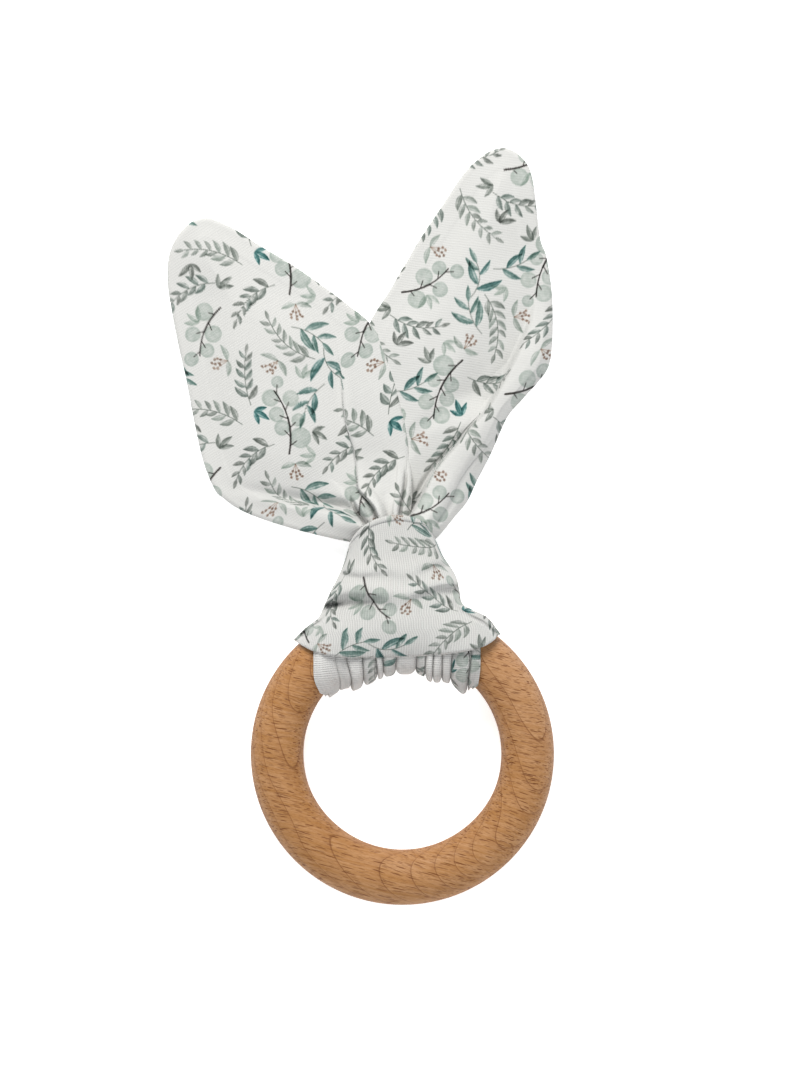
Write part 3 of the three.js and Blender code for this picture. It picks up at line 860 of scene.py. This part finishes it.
# Slanting wrinkles where the pull of the knot meets the flare over the rim; the last two are the
# fine grooves beside the turned edges of the flare.
BRIDGE_FOLDS = [
    ([(-18.0, 35.8), (-13, 38.8), (-6, 38.4), (3, 35.4)], (1.4, 2.6), (1.8, 0.4)),
    ([(-19.4, 32.8), (-14.4, 35.6), (-8, 35.6), (1, 32.6)], (0.9, 1.6), (-2.0, -0.3)),
    ([(13.0, 40.2), (8, 39.8), (2, 38.0), (-3, 36.4)], (1.3, 2.2), (1.6, 0.3)),
    ([(13.8, 37.4), (9, 37.6), (4, 36.6), (-1, 35)], (0.7, 1.3), (-1.8, -0.2)),
    ([(-14.2, 44.2), (-9, 42.8), (-2, 43.2), (5, 41.4)], (1.3, 2.0), (0.9, 0.2)),
    ([(-15.2, 41.8), (-10, 40.9), (-4, 41.4), (2, 40)], (0.7, 1.4), (-0.9, -0.1)),
    ([(9.8, 45.6), (6, 44.8), (1, 42.6), (-4, 41)], (1.1, 2.0), (0.8, 0.1)),
    ([(11.0, 43.4), (7, 43.0), (3, 41.4)], (0.6, 1.2), (-0.8, -0.1)),
    ([(-19.2, 34.2), (-16.4, 34.8), (-12.7, 34.9), (-8, 35.6), (-3, 36.6)], (0.42, 1.1), (-1.9, -0.1)),
    ([(13.4, 38.6), (10.6, 38.9), (7.2, 38.4), (3.4, 37.0)], (0.40, 1.0), (-1.5, -0.1)),
    ([(21.4, 28.2), (18.6, 30.8), (15.2, 32.6), (12.7, 34.4), (11.8, 37.6)], (0.36, 0.36), (-1.1, -0.5)),
    ([(-23.0, 27.6), (-20.8, 29.6), (-18.4, 31.4), (-17.2, 33.6), (-15.8, 36.8)],
     (0.36, 0.36), (-1.1, -0.5)),
]


def bridge_sheet(columns, rows, hem, creased):
    """The bridge as rows of points, its hems among them, and how many of the rows are turned under."""
    s_line = 0.5 + 0.5 * np.sin(np.linspace(-1, 1, columns) * np.pi / 2)
    s, t = np.meshgrid(s_line, np.linspace(0, 1, rows))
    plan = filled(BRIDGE_BOTTOM, BRIDGE_TOP, BRIDGE_LEFT, BRIDGE_RIGHT, s, t)
    x, y = plan[..., 0], plan[..., 1]
    z = bridge_height(x, y, s)
    if creased:
        at = (x.ravel(), y.ravel())
        z = z + (folds(*at, BRIDGE_FOLDS) + 0.22 * noise(*at, 7, 21)).reshape(x.shape)
    body = np.stack([x, y, z], -1)
    # The sides turn under: a thin hem on the wings, a deep wall round the tails.
    wall = smoothstep(0.18, 0.5, t[:, 0])
    depth, inward = mix(0.9, 3.6, wall)[:, None], mix(0.9, 3.2, wall)[:, None]
    left, right = [], []
    for k in range(1, hem + 1):
        angle = np.pi * min(k / hem, 0.97) * (1 - 0.5 * wall)[:, None]
        inset = inward * (1 - np.cos(angle)) * 0.5
        drop = depth * np.sin(angle / 2) * 1.4
        left.append(body[:, 0] + np.concatenate([inset, 0 * inset, -drop], 1))
        right.append(body[:, -1] + np.concatenate([-inset, 0 * inset, -drop], 1))
    body = np.concatenate([np.array(left[::-1]).swapaxes(0, 1), body, np.array(right).swapaxes(0, 1)], 1)
    side = np.linspace(-1, 1, body.shape[1])[:, None]
    down = np.array([0, 0, -1.0])
    # The top edge rolls over into the knot as a narrow lip.
    out_top = unit(body[-1] - body[-3])
    lip = 0.78 * (1 - 0.45 * np.abs(side) ** 3)
    roll = []
    for k in range(1, hem + 1):
        angle = math.radians(mix(150, -110, k / hem))
        step = (0.80 + math.cos(angle)) * out_top * [1, 1, 0.3] + (0.5 - math.sin(angle)) * down
        roll.append(body[-1] + lip * step)
    # The bottom edge is turned under and runs on a little behind it.
    out_low = unit(body[0] - body[2])
    under = []
    for k in range(1, hem + 1):
        angle = np.pi * k / hem
        step = np.sin(angle) * out_low + (1 - np.cos(angle)) * down
        under.append(body[0] + 0.8 * (1 - 0.5 * np.abs(side) ** 4) * step)
    under += [under[-1] - out_low * step for step in (0.8, 1.8, 3.2)]
    return np.concatenate([np.array(under[::-1]), body, np.array(roll)]), len(under)


def make_bridge():
    columns, rows, hem = int(280 * DETAIL), int(240 * DETAIL), int(14 * DETAIL) + 4
    sheet, first = bridge_sheet(columns, rows, hem, True)
    smooth, _ = bridge_sheet(columns, rows, hem, False)
    total, columns = sheet.shape[:2]
    # Flat cloth places come from the lengths along the sheet before it was creased.
    v = lengths_along(smooth)
    v = v - v[first] + smooth[first, :, 1]
    u = lengths_along(smooth, axis=1)
    u = u - u[:, -1:] * 0.5
    # The cloth narrows towards the knot: its ribs draw together there.
    natural = np.tile(u[total // 4], (total, 1))
    u = mix(u, natural, 0.35 * np.linspace(0, 1, total)[:, None] ** 2)
    points = tilt(sheet.reshape(-1, 3))
    cloth = rotated(u.ravel(), v.ravel(), STITCH_TURN - math.pi / 2)
    bridge = make_object("bridge_cloth", points, grid_faces(columns, total), JERSEY, cloth, 1.0)
    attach(bridge, "hitch")
    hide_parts("bridge_outer_panel", "bridge_inner_panel", "bridge_lower_seam",
                "bridge_upper_seam")
    return bridge


# ---------------- gathered legs
# Tubes of the gathers across the rim: where each one ends at its right.
GATHERS_LEFT = -20.35
GATHERS = [-15.6, -12.9, -9.65, -6.3, -4.65, -1.5, 3.15, 5.4, 7.15, 9.35, 11.5, 15.7, 17.9]
WRONG_SIDE = [(-21, -9.65), (-6.3, -4.65), (-1.5, 3.15), (5.4, 11.5)]  # spans that show the unprinted side
# How far the crests stand from the middle of the rim on the hole's side.
REACH = [(-20.35, 6.6), (-18.9, 7.3), (-17.4, 7.8), (-15.5, 8.5), (-13.6, 9.2), (-12.7, 10.2),
         (-11.1, 10.6), (-9.0, 10.8), (-6.5, 10.8), (-3.1, 10.7), (1.0, 10.3), (4.3, 10.0),
         (5.9, 10.9), (6.8, 11.1), (8.2, 10.6), (10.5, 9.6), (12.5, 9.3), (15.0, 8.9), (16.4, 7.4),
         (17.9, 6.6)]


def gather_columns():
    """Places across the strip, denser in the valleys, with each one's share of a tube's crest."""
    x, crest = [], []
    left = GATHERS_LEFT
    for k, right in enumerate(GATHERS):
        count = max(int((right - left) * 15 * DETAIL), 8)
        phase = np.linspace(-np.pi / 2, np.pi / 2, count, endpoint=k == len(GATHERS) - 1)
        t = np.sin(phase)
        x.append((left + right) / 2 + t * (right - left) / 2)
        crest.append((1 - np.abs(t) ** (6.0 if k in (0, len(GATHERS) - 1) else 3.2)) ** 0.5)
        left = right
    return np.concatenate(x), np.concatenate(crest)


def make_legs():
    across, crest = gather_columns()
    columns, around, tail_rows = len(across), int(150 * DETAIL), int(60 * DETAIL)
    wrap = np.radians(np.linspace(62, 302, around))[:, None]
    degrees = np.degrees(wrap)
    # Folds open, close and lean a little on their way round the rim.
    sway = 0.25 * noise(across, wrap * 4.0, 2.6, 31)
    edge = np.minimum(across - GATHERS_LEFT, GATHERS[-1] - across)
    x0 = across + sway * smoothstep(0.5, 4, edge)
    inner = smoothstep(95, 150, degrees) * smoothstep(285, 245, degrees)
    deep = mix(1.2, 1.7, inner) * np.where((across < -14) | (across > 16), 0.35, 1.0)
    radius = mix(8.2, table(across, REACH), inner) - (1 - crest) * deep
    radius = mix(CUFF_R, radius, smoothstep(-0.1, 1.8, edge) ** 0.6)
    ripple = noise(across, wrap * 5.0, 3.1, 33)
    radius += 0.25 * ripple * smoothstep(0, 3, edge)
    radius = np.maximum(radius, CLEAR_R)
    out = RIM_CENTRE_R + radius * np.cos(wrap)
    x = x0 * (1 - np.where(x0 < 0, 0.08, 0.034) * inner)
    # The cuffs' corners are rounded where they reach farthest into the hole.
    x -= 1.0 * np.sign(x0) * smoothstep(2.6, 0, edge) * smoothstep(0.72, 1.0, -np.cos(wrap))
    y = np.sqrt(np.clip(out**2 - x**2, 4, None))
    z = radius * np.sin(wrap)
    z = np.maximum(z, table_level(y) + 0.35 + 0.5 * (1 - crest))
    rim_part = np.stack([x, y, z], -1)
    # Behind the rim the legs run on to the neck.
    start = rim_part[-1]
    end_x = mix(-9.0, 5.0, (across - across[0]) / (across[-1] - across[0]))
    zero = np.zeros(columns)
    end = np.stack([end_x, zero + 54.5, -8.8 + 0.6 * (1 - crest)], 1)
    away = unit(rim_part[-1] - rim_part[-2])
    rows = []
    for t in np.linspace(0, 1, tail_rows + 1)[1:]:
        p0, p1 = start, start + away * 4
        p2, p3 = end + np.stack([end_x * 0.05, zero - 12, zero - 0.3], 1), end
        p = (1 - t) ** 3 * p0 + 3 * (1 - t) ** 2 * t * p1 + 3 * (1 - t) * t * t * p2 + t**3 * p3
        lowest = table_level(p[:, 1]) + 0.35 + 0.9 * (1 - crest) * (1 - 0.3 * t)
        p[:, 2] = np.maximum(p[:, 2], lowest)
        rows.append(p)
    sheet = np.concatenate([rim_part, np.array(rows)])
    total = sheet.shape[0]
    v = lengths_along(sheet).mean(axis=1, keepdims=True)
    u = np.tile(lengths_along(sheet[total // 3]), (total, 1))
    points = tilt(sheet.reshape(-1, 3))
    # The ribs cross the strip here, straight from one cuff to the other over the round of the rim.
    v = v - (sheet[:, :, 1] - sheet[:, columns // 2, 1][:, None])
    cloth = rotated(u.ravel(), v.ravel(), STITCH_TURN)
    # The left cuff and most tubes show the cloth's unprinted side, whose paler colour also paints light
    # onto these shaded gathers.
    bare = np.zeros(columns)
    for left, right in WRONG_SIDE:
        span = smoothstep(left - 0.3, left + 0.3, across) * smoothstep(right + 0.3, right - 0.3, across)
        bare = np.maximum(bare, span)
    bare = UNPRINTED_SHARE * np.tile(bare, total)
    pulled = np.tile(mix(1.5, 0.8, smoothstep(-14, -10, across)), total)
    faces = grid_faces(columns, total)[:, ::-1]
    legs = make_object("gathered_legs", points, faces, JERSEY, cloth, pulled, bare)
    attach(legs, "hitch")
    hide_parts("left_leg_outer_panel", "left_leg_inner_panel", "right_leg_outer_panel",
                "right_leg_inner_panel")
    return legs


# ---------------- tails inside the bridge
def make_tail(side, path):
    """One gathered end of the strip on its way from behind the rim through the bridge."""
    around, along = int(150 * DETAIL), int(90 * DETAIL)
    line = spline(path, along, closed=False)
    turn = np.linspace(0, 2 * np.pi, around, endpoint=False)
    t, turn = np.meshgrid(np.linspace(0, 1, along), turn, indexing="ij")
    flutes = np.abs(np.sin(5.5 * turn + 1.3 * np.sin(3 * t + side) + side)) ** 0.6
    swell = 0.84 + 0.16 * flutes + 0.05 * noise(turn * 2, t * 6, 1.0, 41 + side)
    closed = dome(((np.abs(2 * t - 1) - 0.86) / 0.14).clip(0) ** 2)
    x = line[:, None, 0] + line[:, None, 3] * swell * closed * np.cos(turn)
    y = np.broadcast_to(line[:, None, 1], x.shape)
    z = line[:, None, 2] + line[:, None, 4] * swell * closed * np.sin(turn)
    z = np.maximum(z, table_level(y) + 0.5)
    points = tilt(np.stack([x, y, z], -1).reshape(-1, 3))
    faces = grid_faces(around, along, round_columns=True)[:, [0, 3, 2, 1]]
    cloth = ((turn * 5.5).ravel() + 11 * side, (t * 24).ravel() - 30)
    name = ("left", "right")[side]
    tail = make_object(f"{name}_tail_cloth", points, faces, JERSEY, cloth, 0.5)
    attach(tail, "hitch")
    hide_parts(f"{name}_tail_front_panel", f"{name}_tail_back_panel")
    return tail


# x, y, z, half width and half height along each tail
LEFT_TAIL = [(-8.0, 32.5, -7.4, 8.0, 1.2), (-7.2, 38.5, -6.2, 6.8, 3.2),
             (-6.0, 45.0, -4.4, 6.0, 5.2), (-5.6, 53.0, -4.8, 5.6, 4.8)]
RIGHT_TAIL = [(6.0, 32.5, -7.4, 8.0, 1.2), (4.4, 38.5, -6.2, 6.4, 3.2),
              (3.0, 45.0, -4.4, 5.2, 5.2), (1.8, 53.0, -4.8, 4.6, 4.8)]


# ---------------- floor, light and camera
FLOOR_SIZE = 3000.0
FLOOR_GLOW = 0.60
WORLD_COLOUR, WORLD_STRENGTH = (0.93, 0.96, 1.0, 1), 0.30
LAMPS = [  # name, place in metres, size, power, colour
    ("key", (-0.10, 0.60, 0.62), 0.45, 8.1, (1.0, 0.985, 0.96)),
    ("fill", (0.16, -0.60, 0.62), 0.7, 3.1, (0.99, 0.99, 1.0)),
]
FRAME_HEIGHT = 251.2  # of the picture, at the object, mm
VIEW_CENTRE = (0.6, 49.4)
CAMERA_DISTANCE = 1.0


def make_stage():
    corners = np.array([(-1, -1, 0), (1, -1, 0), (1, 1, 0), (-1, 1, 0)]) * FLOOR_SIZE
    corners = corners - [RING_AT[0], RING_AT[1], 0.05]
    floor = make_object("floor", corners, [[0, 1, 2, 3]], floor_material())
    world = bpy.data.worlds.new("studio")
    bpy.context.scene.world = world
    world.use_nodes = True
    background = world.node_tree.nodes["Background"]
    background.inputs["Color"].default_value = WORLD_COLOUR
    background.inputs["Strength"].default_value = WORLD_STRENGTH
    for name, place, size, power, colour in LAMPS:
        light = bpy.data.lights.new(name, "AREA")
        light.energy, light.size, light.color = power, size, colour
        lamp = bpy.data.objects.new(name, light)
        bpy.context.scene.collection.objects.link(lamp)
        lamp.location = place
        lamp.rotation_euler = (-lamp.location).to_track_quat("-Z", "Y").to_euler()


def make_camera():
    data = bpy.data.cameras.new("camera")
    data.sensor_fit = "VERTICAL"
    data.sensor_height = 36
    data.lens = 36 * CAMERA_DISTANCE / (FRAME_HEIGHT * MM)
    camera = bpy.data.objects.new("camera", data)
    bpy.context.scene.collection.objects.link(camera)
    camera.location = in_frame(*VIEW_CENTRE, CAMERA_DISTANCE / MM)
    camera.rotation_euler = (0, 0, 0)
    data.clip_start = 0.01
    bpy.context.scene.camera = camera
    bpy.context.scene.view_settings.view_transform = "Standard"


make_ring()
left_ear, right_ear = make_ears()
bridge = make_bridge()
legs = make_legs()
left_tail, right_tail = make_tail(0, LEFT_TAIL), make_tail(1, RIGHT_TAIL)
# One strip of two layers with an ear at each end makes all the cloth. These are its stretches.
make_stage()
make_camera()
bpy.context.view_layer.update()
